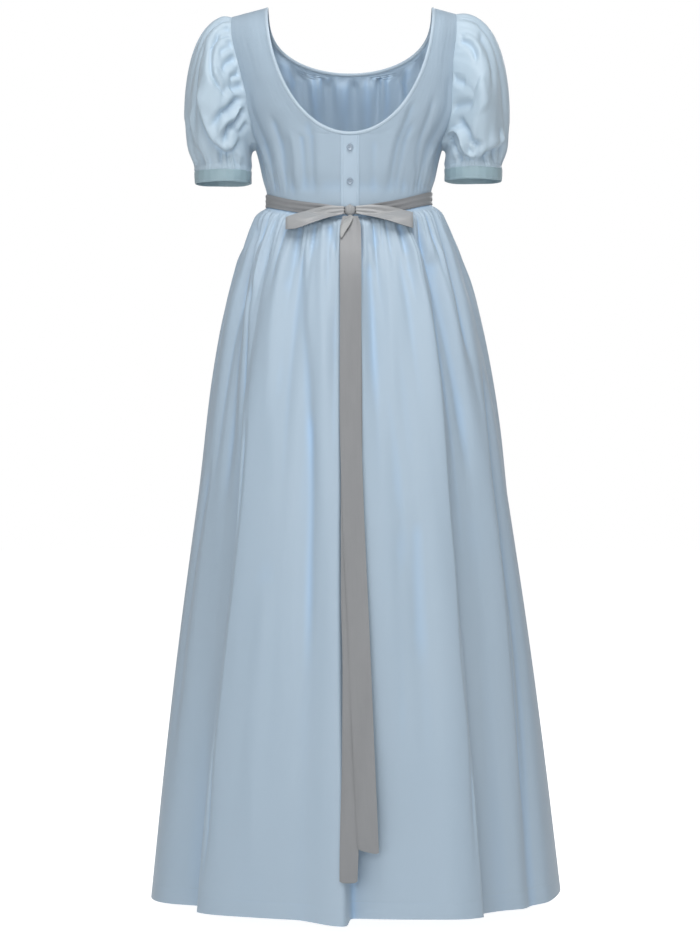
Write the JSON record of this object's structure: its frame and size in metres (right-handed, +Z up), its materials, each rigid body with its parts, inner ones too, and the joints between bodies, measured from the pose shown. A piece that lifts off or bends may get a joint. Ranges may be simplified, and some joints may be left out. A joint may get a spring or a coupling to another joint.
{
  "type": "regency gown",
  "caption": "High-waisted gown with a scooped back, puffed sleeves in bands, a long gathered skirt and a ribbon sash tied in a bow behind.",
  "frame": {"origin": "midway between the shoulders, at the height of the neck points, where the wearer holds the gown up", "axes": "+Z up along the gown, +X the wearer's left side, +Y behind the wearer, towards the bow"},
  "size_m": [0.6334, 0.5589, 1.3834],
  "materials": {
    "blue_cloth": "pale grey-blue cotton sateen with a soft sheen",
    "band_cloth": "the same cloth folded and pressed flat",
    "taupe_ribbon": "grey-brown satin ribbon",
    "button_blue": "small round grey-blue buttons, softly polished"
  },
  "bodies": {
    "root": {"bodice_front": "blue_cloth", "bodice_back_left": "blue_cloth", "bodice_back_right": "blue_cloth", "neck_binding": "band_cloth", "placket": "band_cloth", "button_upper": "button_blue", "button_lower": "button_blue", "sleeve_left": "blue_cloth", "sleeve_right": "blue_cloth", "cuff_left": "band_cloth", "cuff_right": "band_cloth", "skirt_back": "blue_cloth", "skirt_front": "blue_cloth", "sash_band": "taupe_ribbon", "bow_knot": "taupe_ribbon", "bow_loop_left": "taupe_ribbon", "bow_loop_right": "taupe_ribbon", "tail_long": "taupe_ribbon", "tail_short": "taupe_ribbon"}
  },
  "joints": []
}
